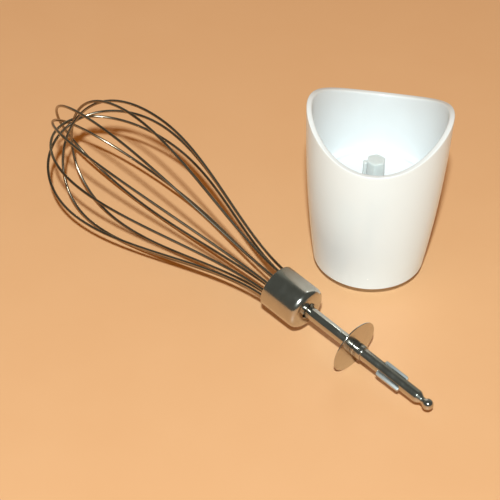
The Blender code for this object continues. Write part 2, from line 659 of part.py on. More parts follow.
def splash_disc():
    """Thin disc and the hub sleeve that it is pressed on."""
    bore = SHAFT_RADIUS + GAP
    disc = along_shaft(turned(ring_profile(bore, DISC_RADIUS, DISC_STATION, DISC_STATION + DISC_THICKNESS), 40))
    smooth(disc)
    place("splash_disc", disc, POLISHED_STEEL, WHISK)
    start = DISC_STATION + DISC_THICKNESS + GAP
    sleeve = along_shaft(turned(ring_profile(bore, HUB_SLEEVE_RADIUS, start, start + HUB_SLEEVE_LENGTH), 24))
    smooth(sleeve)
    place("disc_hub", sleeve, POLISHED_STEEL, WHISK)


def ferrule():
    """Deep-drawn cup: open towards the wires, rounded shoulder towards the shaft."""
    shoulder = [(FERRULE_RADIUS - FERRULE_ROUND * (1 - math.cos(a)),
                 FERRULE_LENGTH - FERRULE_ROUND * (1 - math.sin(a)))
                for a in (math.radians(18 * i) for i in range(5, -1, -1))]
    inside = [(FERRULE_RADIUS - FERRULE_ROUND + (FERRULE_ROUND - FERRULE_WALL) * math.cos(a),
               FERRULE_LENGTH - FERRULE_ROUND + (FERRULE_ROUND - FERRULE_WALL) * math.sin(a))
              for a in (math.radians(30 * i) for i in range(4))]
    hole = SHAFT_RADIUS + GAP
    profile = [(hole, FERRULE_LENGTH)] + shoulder + [
        (FERRULE_RADIUS, 0.0), (FERRULE_RADIUS - FERRULE_WALL, 0.0)] + inside + [
        (hole, FERRULE_LENGTH - FERRULE_WALL)]
    mesh = along_shaft(turned(profile, 32))
    smooth(mesh)
    place("ferrule", mesh, POLISHED_STEEL, WHISK)
    bore = SHAFT_RADIUS + GAP
    core_profile = [(CORE_RADIUS, PLUG_END), (CORE_RADIUS, PLUG_FACE), (0.0, PLUG_FACE),
                    (0.0, SHAFT_START - GAP), (bore, SHAFT_START - GAP), (bore, PLUG_END)]
    core = along_shaft(turned_from_axis(core_profile, ROUND_STEPS))
    smooth(core)
    place("core_plug", core, ZINC_STEEL, WHISK)
    crimp_outer = FERRULE_RADIUS - FERRULE_WALL - GAP
    crimp = along_shaft(turned(ring_profile(CRIMP_INNER, crimp_outer, PLUG_FACE, PLUG_END - 1.0 * MM), ROUND_STEPS))
    smooth(crimp)
    place("crimp_ring", crimp, ZINC_STEEL, WHISK)


def turned_from_axis(profile, steps):
    """Turned blind cup: the profile touches the axis between two of its points."""
    first = next(i for i, (r, z) in enumerate(profile) if r == 0.0 and profile[i + 1][0] == 0.0)
    return turned(profile[first + 1:] + profile[:first + 1], steps)


def bezier(a, b, c, d, count):
    """Points of a cubic curve."""
    points = []
    for i in range(count):
        t = i / (count - 1)
        s = 1 - t
        points.append(a * s ** 3 + b * (3 * s * s * t) + c * (3 * s * t * t) + d * t ** 3)
    return points


def loop_side(side, belly, station, reach, lean, bend, bend_tip):
    """Half a loop from its wire end over the belly to the tip: (station, in plane, out of plane)."""
    end = Vector((0.0, side * WIRE_CIRCLE, 0.0))
    middle = Vector((station, side * belly, bend))
    tip = Vector((reach, lean, bend_tip))
    drift = Vector((1.0, 0.0, bend / station))
    start = Vector((1.0, side * 0.05, 0.0)).normalized()
    rise = bezier(end, end + start * NECK_HANDLE * station, middle - drift * BELLY_HANDLE * station,
                  middle, POINTS_PER_STRETCH)
    spread = abs(side * belly - lean) * TIP_HANDLE
    dome = bezier(middle, middle + drift * SHOULDER_HANDLE * (reach - station),
                  tip + Vector((0.0, side * spread, 0.0)), tip, POINTS_PER_STRETCH)
    return rise + dome[1:]


def loop_points(loop):
    """Points of one wire loop in the whisk's frame."""
    side_a = loop_side(1, loop.belly_a * MM, loop.station_a * MM, loop.reach * MM, loop.lean * MM,
                       loop.bend_a * MM, loop.bend_tip * MM)
    side_b = loop_side(-1, loop.belly_b * MM, loop.station_b * MM, loop.reach * MM, loop.lean * MM,
                       loop.bend_b * MM, loop.bend_tip * MM)
    ends = [Vector((-WIRE_END_DEPTH, side * WIRE_CIRCLE, 0.0)) for side in (1, -1)]
    path = [ends[0]] + side_a + side_b[-2::-1] + [ends[1]]
    angle = FIRST_LOOP_ANGLE + loop.turn * LOOP_SPACING
    across = Vector((0.0, math.cos(angle), math.sin(angle)))
    beside = Vector((0.0, -math.sin(angle), math.cos(angle)))
    return [Vector((-p.x, 0.0, 0.0)) + across * p.y + beside * p.z for p in path]


def wire_loops():
    """Six loops of spring wire, each through the ferrule's mouth at both ends."""
    for number, loop in enumerate(LOOPS, start=1):
        mesh = tube(loop_points(loop), WIRE_RADIUS)
        smooth(mesh, math.radians(60))
        place(f"wire_loop_{number}", mesh, BRIGHT_WIRE, WHISK)


collar_shell()
bottom_cover()
cover_screws()
ring_gear()
sun_gear()
planet_gears()
planet_carrier()
bearings()
drive_post()
ball_clip()
whisk_shaft()
splash_disc()
ferrule()
wire_loops()
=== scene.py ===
"""A hand blender's whisk attachment on a pale table: the gearbox collar stands on its narrow
end with its mouth up, and the balloon whisk lies beside it.  Metres, +Z up."""

import json
import math

import bmesh
import bpy
from mathutils import Matrix, Vector


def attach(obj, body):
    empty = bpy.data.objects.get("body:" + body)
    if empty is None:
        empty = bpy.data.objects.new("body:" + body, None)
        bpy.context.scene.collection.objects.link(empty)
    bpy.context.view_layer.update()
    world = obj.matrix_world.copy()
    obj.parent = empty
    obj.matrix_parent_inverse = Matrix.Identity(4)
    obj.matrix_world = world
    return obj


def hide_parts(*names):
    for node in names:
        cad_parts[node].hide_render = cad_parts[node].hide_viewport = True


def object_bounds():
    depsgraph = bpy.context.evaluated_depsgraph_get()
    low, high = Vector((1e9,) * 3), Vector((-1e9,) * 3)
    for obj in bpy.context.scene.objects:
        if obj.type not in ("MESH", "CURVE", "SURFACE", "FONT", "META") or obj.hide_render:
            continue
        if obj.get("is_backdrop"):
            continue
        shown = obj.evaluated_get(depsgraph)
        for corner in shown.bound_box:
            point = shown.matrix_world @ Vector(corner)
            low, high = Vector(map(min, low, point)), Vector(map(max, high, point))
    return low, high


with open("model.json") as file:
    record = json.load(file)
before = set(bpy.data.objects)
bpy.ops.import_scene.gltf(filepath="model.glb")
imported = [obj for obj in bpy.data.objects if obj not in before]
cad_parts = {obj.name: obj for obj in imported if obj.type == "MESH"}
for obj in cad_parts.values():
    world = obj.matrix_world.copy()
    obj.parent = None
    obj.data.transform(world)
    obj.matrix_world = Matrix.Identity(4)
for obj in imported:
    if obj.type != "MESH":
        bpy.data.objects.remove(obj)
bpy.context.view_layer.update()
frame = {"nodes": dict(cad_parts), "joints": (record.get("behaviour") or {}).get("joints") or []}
MM = 0.001

# ---- collar shell ---------------------------------------------------------------------
# One thick-walled moulding in white ABS.  Its mouth is cut to a saddle so that the handle's
# shoulders drop over it, a ledge inside stops the handle's nose, and its lower edge, which
# stands clear of the table, is rounded.
collar_joint = next(j for j in frame["joints"] if j["name"] == "output_turn")
NOSE_HEIGHT = 7.0 * MM
COLLAR = Vector((collar_joint["pos_m"][0], collar_joint["pos_m"][1], NOSE_HEIGHT))
WALL = 2.6 * MM
LOWER_RADIUS = 26.8 * MM
TAPER = 7.5 * MM
BELLY = 5.6 * MM
RIM_MEAN = 79.9 * MM
RIM_SWING = 7.2 * MM
RIM_HIGH = RIM_MEAN + RIM_SWING
RIM_ANGLE = math.radians(35.4)
RIM_FLATTEN = 0.4 * MM
LIP_OUTER = 0.4 * MM
LIP_INNER = 0.9 * MM
LOWER_ROUND = 0.5 * MM
SEAT_RADIUS = 24.2 * MM
SEAT_EASE = 0.3 * MM
SEAT_TOP = 4.4 * MM
GEARBOX_HEIGHTS = (6 * MM, 20 * MM, 39.5 * MM)
FLOOR_UNDER = GEARBOX_HEIGHTS[-1]
BUSH_BOSS_RADIUS = 10.6 * MM
BUSH_BOSS_UNDER = 36.8 * MM
BUSH_BORE_RADIUS = 8.3 * MM
BUSH_BORE_EASE = 0.3 * MM
FLOOR_TOP = 42.0 * MM
WELL_RADIUS = 24.6 * MM
WELL_FILLET = 1.0 * MM
LEDGE_TOP = 43.6 * MM
LEDGE_RADIUS = 25.6 * MM
LEDGE_EASE = 0.4 * MM
LEDGE_FILLET = 1.2 * MM
OUTER_STEPS = 40
INNER_STEPS = 24
SHELL_STEPS = 192
SCREW_CIRCLE = 21.4 * MM
SCREW_ANGLES = [math.radians(150 + 120 * i) for i in range(3)]


def side_radius(z):
    """Outer radius of the collar at height z: a taper with a slight belly."""
    share = z / RIM_HIGH
    return LOWER_RADIUS + TAPER * share + BELLY * share * (1 - share)


def rounded(corners, facets=5):
    """Outline in metres from corners in mm (radius, height, rounding) that arcs ease."""
    points = []
    count = len(corners)
    for i, (r, z, ease) in enumerate(corners):
        here = Vector((r, z))
        if ease == 0:
            points.append((r, z))
            continue
        before = (Vector(corners[i - 1][:2]) - here).normalized()
        after = (Vector(corners[(i + 1) % count][:2]) - here).normalized()
        half = before.angle(after) / 2
        centre = here + (before + after).normalized() * ease / math.sin(half)
        start = here + before * ease / math.tan(half) - centre
        sweep = (here + after * ease / math.tan(half) - centre).angle_signed(start)
        for step in range(facets + 1):
            angle = sweep * step / facets
            x = start.x * math.cos(angle) - start.y * math.sin(angle)
            y = start.x * math.sin(angle) + start.y * math.cos(angle)
            points.append((centre.x + x, centre.y + y))
    return [(r * MM, z * MM) for r, z in points]


def finished(name, cloth, sharp=40, where=None):
    """Close off a mesh: normals out, edges sharper than a limit kept, set in its place."""
    bmesh.ops.remove_doubles(cloth, verts=cloth.verts, dist=1e-7)
    bmesh.ops.dissolve_degenerate(cloth, edges=cloth.edges, dist=1e-8)
    bmesh.ops.recalc_face_normals(cloth, faces=cloth.faces)
    if where is not None:
        cloth.transform(where)
    mesh = bpy.data.meshes.new(name)
    cloth.to_mesh(mesh)
    cloth.free()
    mesh.shade_smooth()
    mesh.set_sharp_from_angle(angle=math.radians(sharp))
    made = bpy.data.objects.new(name, mesh)
    bpy.context.scene.collection.objects.link(made)
    return made


def turned(name, outline, steps, where, sharp=40):
    """A piece spun round Z from a closed outline of (radius, height)."""
    cloth = bmesh.new()
    rim = [cloth.verts.new((r, 0.0, z)) for r, z in outline]
    edges = [cloth.edges.new((a, b)) for a, b in zip(rim, rim[1:] + rim[:1]) if a.co.x + b.co.x > 0]
    bmesh.ops.spin(cloth, geom=rim + edges, cent=(0, 0, 0), axis=(0, 0, 1), angle=math.tau,
                   steps=steps, use_merge=True)
    return finished(name, cloth, sharp, where)


def collar_section(angle):
    """The shell's wall, lower edge, floor and ledge in one closed outline at one angle."""
    past_peak = angle - RIM_ANGLE
    rim = RIM_MEAN + RIM_SWING * math.cos(2 * past_peak) + RIM_FLATTEN * math.cos(4 * past_peak)
    edge = side_radius(rim)
    quarter = [math.pi / 2 * step / 6 for step in range(7)]
    coarse = [math.pi / 2 * step / 4 for step in range(5)]
    points = [(edge - WALL + LIP_INNER * (1 - math.cos(a)), rim - LIP_INNER * (1 - math.sin(a)))
              for a in quarter]
    points += [(edge - LIP_OUTER * (1 - math.cos(a)), rim - LIP_OUTER * (1 - math.sin(a)))
               for a in reversed(quarter)]
    high = rim - LIP_OUTER
    for step in range(1, OUTER_STEPS):
        z = high + (LOWER_ROUND - high) * step / OUTER_STEPS
        points.append((side_radius(z), z))
    foot = side_radius(LOWER_ROUND)
    points += [(foot - LOWER_ROUND * (1 - math.cos(a)), LOWER_ROUND * (1 - math.sin(a)))
               for a in quarter]
    points += [(SEAT_RADIUS + SEAT_EASE, 0.0), (SEAT_RADIUS, SEAT_EASE), (SEAT_RADIUS, SEAT_TOP)]
    points += [(side_radius(z) - WALL, z) for z in GEARBOX_HEIGHTS]
    points += [(BUSH_BOSS_RADIUS, FLOOR_UNDER), (BUSH_BOSS_RADIUS, BUSH_BOSS_UNDER),
               (BUSH_BORE_RADIUS, BUSH_BOSS_UNDER), (BUSH_BORE_RADIUS, FLOOR_TOP - BUSH_BORE_EASE),
               (BUSH_BORE_RADIUS + BUSH_BORE_EASE, FLOOR_TOP), (WELL_RADIUS, FLOOR_TOP)]
    points += [(WELL_RADIUS + WELL_FILLET * math.sin(a), FLOOR_TOP + WELL_FILLET * (1 - math.cos(a)))
               for a in coarse[1:]]
    points += [(LEDGE_RADIUS + LEDGE_EASE * (1 - math.cos(a)), LEDGE_TOP - LEDGE_EASE * (1 - math.sin(a)))
               for a in coarse[1:]]
    wall = side_radius(LEDGE_TOP) - WALL
    points += [(wall - LEDGE_FILLET * (1 - math.sin(a)), LEDGE_TOP + LEDGE_FILLET * (1 - math.cos(a)))
               for a in coarse]
    low = LEDGE_TOP + LEDGE_FILLET
    high = rim - LIP_INNER
    for step in range(1, INNER_STEPS):
        z = low + (high - low) * step / INNER_STEPS
        points.append((side_radius(z) - WALL, z))
    return points


cloth = bmesh.new()
rings = []
for step in range(SHELL_STEPS):
    angle = math.tau * step / SHELL_STEPS
    rings.append([cloth.verts.new((r * math.cos(angle), r * math.sin(angle), z))
                  for r, z in collar_section(angle)])
for here, there in zip(rings, rings[1:] + rings[:1]):
    for i in range(len(here)):
        k = (i + 1) % len(here)
        cloth.faces.new((here[i], here[k], there[k], there[i]))
collar_shell = finished("collar_shell_fine", cloth, 50, Matrix.Translation(COLLAR))


def on_circle(radius, angle):
    """A place round the collar's axis, level with the wall's lower edge."""
    return Matrix.Translation(COLLAR + Vector((radius * math.cos(angle), radius * math.sin(angle), 0)))


# The screws' bosses hang from the floor beside the wall; each has a blind pilot hole.
BOSS_OUTLINE = [(2.5, 4.0, 0), (2.5, 40.0, 0), (0.0, 40.0, 0), (0.0, 14.0, 0), (1.4, 14.0, 0), (1.4, 4.0, 0)]
bosses = [turned("screw_boss", rounded(BOSS_OUTLINE), 24, on_circle(SCREW_CIRCLE, angle))
          for angle in SCREW_ANGLES]


def merged(piece, others):
    """Take other meshes into a piece's own mesh."""
    cloth = bmesh.new()
    cloth.from_mesh(piece.data)
    for other in others:
        cloth.from_mesh(other.data)
        bpy.data.objects.remove(other)
    cloth.to_mesh(piece.data)
    cloth.free()
    return piece


merged(collar_shell, bosses)


def colour(code):
    """Linear colour of an sRGB hex code."""
    parts = [int(code[i:i + 2], 16) / 255 for i in (1, 3, 5)]
    return tuple(p / 12.92 if p <= 0.04045 else ((p + 0.055) / 1.055) ** 2.4 for p in parts) + (1.0,)


def add(tree, kind, inputs=(), **settings):
    """Add a node with its settings, and its sockets' values or links."""
    made = tree.nodes.new(kind)
    for key, value in settings.items():
        setattr(made, key, value)
    for socket, value in dict(inputs).items():
        if isinstance(value, bpy.types.NodeSocket):
            tree.links.new(value, made.inputs[socket])
        else:
            made.inputs[socket].default_value = value
    return made


def material(name, **sockets):
    """A Principled material; returns it, its tree and its shader."""
    made = bpy.data.materials.new(name)
    made.use_nodes = True
    tree = made.node_tree
    shader = tree.nodes["Principled BSDF"]
    for key, value in sockets.items():
        shader.inputs[key.replace("_", " ")].default_value = value
    return made, tree, shader


# Moulded ABS: clean and glossy, with a faint orange-peel skin, a drift of paler and greyer
# white where the melt flowed, and a few dried splashes under 1 mm across.
SPLASH_SPACING = 13 * MM
SPLASH_RADIUS = 0.055
white_abs, tree, shader = material("moulded_white_abs", Roughness=0.2, IOR=1.53, Subsurface_Weight=0.12,
                                   Subsurface_Radius=(1.0, 0.95, 0.9), Subsurface_Scale=1.5 * MM)
place = add(tree, "ShaderNodeTexCoord").outputs["Object"]
drift = add(tree, "ShaderNodeTexNoise", {
    "Vector": place, "Scale": 1 / (38 * MM), "Detail": 3.0}).outputs["Fac"]
tone = add(tree, "ShaderNodeMix", {"Factor": drift, "A": colour("#E5E9EB"), "B": colour("#ECEFF0")},
           data_type='RGBA').outputs["Result"]
cells = add(tree, "ShaderNodeTexVoronoi", {"Vector": place, "Scale": 1 / SPLASH_SPACING})
near = add(tree, "ShaderNodeMath", {0: cells.outputs["Distance"], 1: SPLASH_RADIUS},
           operation='LESS_THAN').outputs[0]
few = add(tree, "ShaderNodeSeparateColor", {"Color": cells.outputs["Color"]}).outputs["Red"]
chosen = add(tree, "ShaderNodeMath", {0: few, 1: 0.8}, operation='GREATER_THAN').outputs[0]
splash = add(tree, "ShaderNodeMath", {0: near, 1: chosen}, operation='MULTIPLY').outputs[0]
skin = add(tree, "ShaderNodeMix", {"Factor": splash, "A": tone, "B": colour("#FFFFFF")},
           data_type='RGBA').outputs["Result"]
tree.links.new(skin, shader.inputs["Base Color"])
smear = add(tree, "ShaderNodeTexNoise", {
    "Vector": place, "Scale": 1 / (11 * MM), "Detail": 5.0}).outputs["Fac"]
gloss = add(tree, "ShaderNodeMapRange", {"Value": smear, "To Min": 0.13, "To Max": 0.26}).outputs["Result"]
tree.links.new(gloss, shader.inputs["Roughness"])
peel = add(tree, "ShaderNodeTexNoise", {
    "Vector": place, "Scale": 1 / (1.6 * MM), "Detail": 2.0}).outputs["Fac"]
relief = add(tree, "ShaderNodeMath", {0: splash, 1: 6.0, 2: peel}, operation='MULTIPLY_ADD').outputs[0]
bump = add(tree, "ShaderNodeBump", {
    "Height": relief, "Strength": 0.12, "Distance": 0.02 * MM}).outputs["Normal"]
tree.links.new(bump, shader.inputs["Normal"])


def dress(piece, finish, slot, body, *nodes):
    """Give a piece its finish, hang it on its body in place of CAD nodes; its slot is not used."""
    piece.data.materials.clear()
    piece.data.materials.append(finish)
    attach(piece, body)
    if nodes:
        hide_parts(*nodes)


dress(collar_shell, white_abs, "shell_white", "collar", "collar_shell")

# ---- bottom cover ---------------------------------------------------------------------
# An ABS disc that closes the gearbox from below.  A nose ring under it carries the collar and
# takes the whisk's splash disc inside; raised rings above hold the lower bush and the gears.
NOSE = -NOSE_HEIGHT / MM
COVER_OUTLINE = [(18.6, 15.6, 0), (18.6, 3.0, 0), (24.0, 3.0, 0), (24.0, 0.4, 0.4), (16.8, 0.4, 0.3),
                 (16.8, NOSE, 0.6), (14.4, NOSE, 0.5), (14.4, 0.4, 0.3), (5.6, 0.4, 0.5),
                 (5.6, 3.0, 0), (9.8, 3.0, 0), (9.8, 11.6, 0), (11.6, 11.6, 0), (11.6, 3.0, 0),
                 (16.6, 3.0, 0), (16.6, 15.6, 0)]
cover = turned("bottom_cover_fine", rounded(COVER_OUTLINE), 96, Matrix.Translation(COLLAR))


def cut(piece, tools):
    """Take the tools' shapes out of a piece for good."""
    tool = merged(tools[0], tools[1:])
    change = piece.modifiers.new("cut", 'BOOLEAN')
    change.operation = 'DIFFERENCE'
    change.solver = 'EXACT'
    change.object = tool
    graph = bpy.context.evaluated_depsgraph_get()
    graph.update()
    mesh = bpy.data.meshes.new_from_object(piece.evaluated_get(graph))
    piece.modifiers.clear()
    piece.data = mesh
    bpy.data.objects.remove(tool)
    mesh.shade_smooth()
    mesh.set_sharp_from_angle(angle=math.radians(35))
    return piece


COUNTERBORE_OUTLINE = [(0.0, 5.0, 0), (1.4, 5.0, 0), (1.4, 2.1, 0), (2.5, 2.1, 0), (2.5, 0.8, 0),
                       (2.9, 0.4, 0), (2.9, -1.0, 0), (0.0, -1.0, 0)]
cut(cover, [turned("counterbore", rounded(COUNTERBORE_OUTLINE), 32, on_circle(SCREW_CIRCLE, angle))
            for angle in SCREW_ANGLES])
dress(cover, white_abs, "shell_white", "collar", "bottom_cover")

# ---- cover screws ---------------------------------------------------------------------
# Three pan-head thread-forming screws in zinc-plated steel with a cross recess, driven up
# through the cover into the shell's bosses.
SCREW_OUTLINE = [(0.0, 13.0, 0), (0.5, 13.0, 0), (1.2, 11.8, 0), (1.2, 2.0, 0), (2.3, 2.0, 0),
                 (2.3, 0.5, 0.6), (0.0, 0.5, 0)]
RECESS_LENGTH = 2.6 * MM
RECESS_WIDTH = 0.6 * MM
RECESS_DEPTH = 1.3 * MM
screw = turned("screw", rounded(SCREW_OUTLINE), 32, Matrix())


def bar(name, size, middle):
    """A plain block used as a tool."""
    cloth = bmesh.new()
    bmesh.ops.create_cube(cloth, matrix=Matrix.Translation(middle) @ Matrix.Diagonal((*size, 1.0)))
    return finished(name, cloth)


recess_middle = (0, 0, RECESS_DEPTH / 2)
cut(screw, [bar("slot_x", (RECESS_LENGTH, RECESS_WIDTH, RECESS_DEPTH), recess_middle)])
cut(screw, [bar("slot_y", (RECESS_WIDTH, RECESS_LENGTH, RECESS_DEPTH), recess_middle)])

# Zinc plate on steel: a soft blue-grey metal with a fine spangle.
zinc_plate, tree, shader = material("zinc_plated_steel", Metallic=1.0, Roughness=0.34)
place = add(tree, "ShaderNodeTexCoord").outputs["Object"]
spangle = add(tree, "ShaderNodeTexVoronoi", {"Vector": place, "Scale": 1 / (0.7 * MM)}).outputs["Color"]
level = add(tree, "ShaderNodeSeparateColor", {"Color": spangle}).outputs["Red"]
tone = add(tree, "ShaderNodeMix", {"Factor": level, "A": colour("#B4B9BD"), "B": colour("#CDD1D3")},
           data_type='RGBA').outputs["Result"]
tree.links.new(tone, shader.inputs["Base Color"])
gloss = add(tree, "ShaderNodeMapRange", {"Value": level, "To Min": 0.28, "To Max": 0.42}).outputs["Result"]
tree.links.new(gloss, shader.inputs["Roughness"])


def node_tree(name, inputs):
    """A geometry node group with named inputs after its geometry: (name, socket type, value)."""
    group = bpy.data.node_groups.new(name, 'GeometryNodeTree')
    group.interface.new_socket("Geometry", in_out='OUTPUT', socket_type='NodeSocketGeometry')
    group.interface.new_socket("Geometry", in_out='INPUT', socket_type='NodeSocketGeometry')
    for label, kind, value in inputs:
        socket = group.interface.new_socket(label, in_out='INPUT', socket_type=kind)
        if value is not None:
            socket.default_value = value
    return group


def grown(name, base, group, values):
    """Run a geometry node group on a base object and keep the result as a plain mesh piece."""
    change = base.modifiers.new("grow", 'NODES')
    change.node_group = group
    for socket in group.interface.items_tree:
        if socket.in_out == 'INPUT' and socket.name in values:
            change[socket.identifier] = values[socket.name]
    graph = bpy.context.evaluated_depsgraph_get()
    graph.update()
    mesh = bpy.data.meshes.new_from_object(base.evaluated_get(graph))
    bpy.data.objects.remove(base)
    mesh.name = name
    made = bpy.data.objects.new(name, mesh)
    bpy.context.scene.collection.objects.link(made)
    return made


screws_on_circle = node_tree("screws_on_circle", [
    ("Screw", 'NodeSocketObject', None), ("Count", 'NodeSocketInt', 3),
    ("Circle radius", 'NodeSocketFloat', 0.02), ("First angle", 'NodeSocketFloat', 0.0),
    ("Centre", 'NodeSocketVector', None), ("Finish", 'NodeSocketMaterial', None)])
source = add(screws_on_circle, "NodeGroupInput").outputs
circle = add(screws_on_circle, "GeometryNodeMeshCircle", {
    "Vertices": source["Count"], "Radius": source["Circle radius"]})
turn = add(screws_on_circle, "ShaderNodeCombineXYZ", {"Z": source["First angle"]}).outputs[0]
ring = add(screws_on_circle, "GeometryNodeTransform", {
    "Geometry": circle.outputs["Mesh"], "Translation": source["Centre"], "Rotation": turn})
model = add(screws_on_circle, "GeometryNodeObjectInfo", {"Object": source["Screw"]}).outputs["Geometry"]
placed = add(screws_on_circle, "GeometryNodeInstanceOnPoints", {
    "Points": ring.outputs["Geometry"], "Instance": model}).outputs["Instances"]
solid = add(screws_on_circle, "GeometryNodeRealizeInstances", {"Geometry": placed}).outputs["Geometry"]
finish = add(screws_on_circle, "GeometryNodeSetMaterial", {"Geometry": solid, "Material": source["Finish"]})
add(screws_on_circle, "NodeGroupOutput", {"Geometry": finish.outputs["Geometry"]})
base = bpy.data.objects.new("screw_base", bpy.data.meshes.new("screw_base"))
bpy.context.scene.collection.objects.link(base)
cover_screws = grown("cover_screws", base, screws_on_circle, {
    "Screw": screw, "Count": len(SCREW_ANGLES), "Circle radius": SCREW_CIRCLE, "First angle": SCREW_ANGLES[0],
    "Centre": COLLAR, "Finish": zinc_plate})
bpy.data.objects.remove(screw)
dress(cover_screws, zinc_plate, "zinc_steel", "collar", "cover_screw_1", "cover_screw_2", "cover_screw_3")

# ---- gears ----------------------------------------------------------------------------
# Fixed ring, three planets and the hollow sun, all moulded in nylon and greased.  They sit in
# the closed gearbox and keep their frame solids, whose teeth are already true.

# Moulded nylon: cream and faintly see-through, shinier where the grease lies thick.
nylon, tree, shader = material("moulded_nylon_gear", Roughness=0.42, IOR=1.53, Subsurface_Weight=0.2,
                               Subsurface_Radius=(1.0, 0.9, 0.7), Subsurface_Scale=1.0 * MM)
place = add(tree, "ShaderNodeTexCoord").outputs["Object"]
grease = add(tree, "ShaderNodeTexNoise", {
    "Vector": place, "Scale": 1 / (4 * MM), "Detail": 4.0}).outputs["Fac"]
tone = add(tree, "ShaderNodeMix", {"Factor": grease, "A": colour("#E4DFCB"), "B": colour("#D3CBB0")},
           data_type='RGBA').outputs["Result"]
tree.links.new(tone, shader.inputs["Base Color"])
gloss = add(tree, "ShaderNodeMapRange", {"Value": grease, "To Min": 0.55, "To Max": 0.22}).outputs["Result"]
tree.links.new(gloss, shader.inputs["Roughness"])


def finish_solid(name, finish):
    """Give a frame solid that stays in sight its finish."""
    slots = frame["nodes"][name].data.materials
    slots.clear()
    slots.append(finish)


for name in ("ring_gear", "sun_gear", "planet_gear_1", "planet_gear_2", "planet_gear_3"):
    finish_solid(name, nylon)

# ---- planet pins, bushes, seal and washer ----------------------------------------------
# Hardened pins under the planets, two oil-filled bronze bushes, a nitrile lip seal over the
# lower bush and a zinc-plated washer under the floor.
UPPER_BUSH_OUTLINE = [(8.1, 42.4, 0.3), (8.1, 37.1, 0), (6.3, 37.1, 0), (6.3, 42.4, 0.3)]

# Sintered bronze: brown-gold and dull, with grains drawn coarser than the real 0.1 mm to show.
sintered_bronze, tree, shader = material("sintered_bronze", Metallic=1.0, Roughness=0.45)
place = add(tree, "ShaderNodeTexCoord").outputs["Object"]
grains = add(tree, "ShaderNodeTexVoronoi", {"Vector": place, "Scale": 1 / (0.25 * MM)}).outputs["Distance"]
tone = add(tree, "ShaderNodeMix", {"Factor": grains, "A": colour("#7A5A2C"), "B": colour("#B98A4C")},
           data_type='RGBA').outputs["Result"]
tree.links.new(tone, shader.inputs["Base Color"])
pits = add(tree, "ShaderNodeBump", {
    "Height": grains, "Strength": 0.4, "Distance": 0.03 * MM}).outputs["Normal"]
tree.links.new(pits, shader.inputs["Normal"])

# Moulded nitrile rubber: near black, matt, with a faint grey bloom.
nitrile, tree, shader = material("moulded_nitrile_rubber", Roughness=0.62, IOR=1.52)
place = add(tree, "ShaderNodeTexCoord").outputs["Object"]
bloom = add(tree, "ShaderNodeTexNoise", {
    "Vector": place, "Scale": 1 / (1.5 * MM), "Detail": 5.0}).outputs["Fac"]
tone = add(tree, "ShaderNodeMix", {"Factor": bloom, "A": colour("#1B1B1C"), "B": colour("#2B2B2C")},
           data_type='RGBA').outputs["Result"]
tree.links.new(tone, shader.inputs["Base Color"])
grit = add(tree, "ShaderNodeBump", {
    "Height": bloom, "Strength": 0.3, "Distance": 0.02 * MM}).outputs["Normal"]
tree.links.new(grit, shader.inputs["Normal"])

finish_solid("lower_bush", sintered_bronze)
finish_solid("shaft_seal", nitrile)
finish_solid("thrust_washer", zinc_plate)
upper_bush = turned("upper_bush_fine", rounded(UPPER_BUSH_OUTLINE), 72, Matrix.Translation(COLLAR))
dress(upper_bush, sintered_bronze, "bronze", "collar", "upper_bush")

# ---- planet carrier -------------------------------------------------------------------
# The geared-down output: journal, plate and hub pressed and sintered in one piece of steel,
# bored for the whisk's shaft and slotted on both sides for its two ears.
CARRIER_OUTLINE = [(5.95, 31.6, 0.4), (5.95, 15.2, 0), (15.6, 15.2, 0.4), (15.6, 12.4, 0.4), (7.6, 12.4, 0),
                   (7.6, 3.6, 0.5), (3.3, 3.6, 0.6), (3.3, 31.6, 0)]
EAR_SLOT = (9.9 * MM, 2.4 * MM, 34 * MM)
EAR_SLOT_MIDDLE = 13.8 * MM
PIN_HOLE_OUTLINE = [(0.0, 16, 0), (1.45, 16, 0), (1.45, 11, 0), (0.0, 11, 0)]
PIN_CIRCLE = 12.6 * MM
carrier = turned("planet_carrier_fine", rounded(CARRIER_OUTLINE), 96, Matrix.Translation(COLLAR))
slot = bar("ear_slot", EAR_SLOT, COLLAR + Vector((0, 0, EAR_SLOT_MIDDLE)))
cut(carrier, [slot] + [turned("pin_hole", rounded(PIN_HOLE_OUTLINE), 24,
                              on_circle(PIN_CIRCLE, math.radians(90 + 120 * i))) for i in range(3)])

# Sintered steel, oiled: dull dark grey with fine pores.
sintered_steel, tree, shader = material("oiled_sintered_steel", Metallic=1.0, Roughness=0.5)
place = add(tree, "ShaderNodeTexCoord").outputs["Object"]
pores = add(tree, "ShaderNodeTexNoise", {
    "Vector": place, "Scale": 1 / (0.3 * MM), "Detail": 4.0}).outputs["Fac"]
tone = add(tree, "ShaderNodeMix", {"Factor": pores, "A": colour("#6C6C6D"), "B": colour("#9C9B99")},
           data_type='RGBA').outputs["Result"]
tree.links.new(tone, shader.inputs["Base Color"])
pits = add(tree, "ShaderNodeBump", {
    "Height": pores, "Strength": 0.3, "Distance": 0.03 * MM}).outputs["Normal"]
tree.links.new(pits, shader.inputs["Normal"])
dress(carrier, sintered_steel, "sintered_steel", "carrier", "planet_carrier")

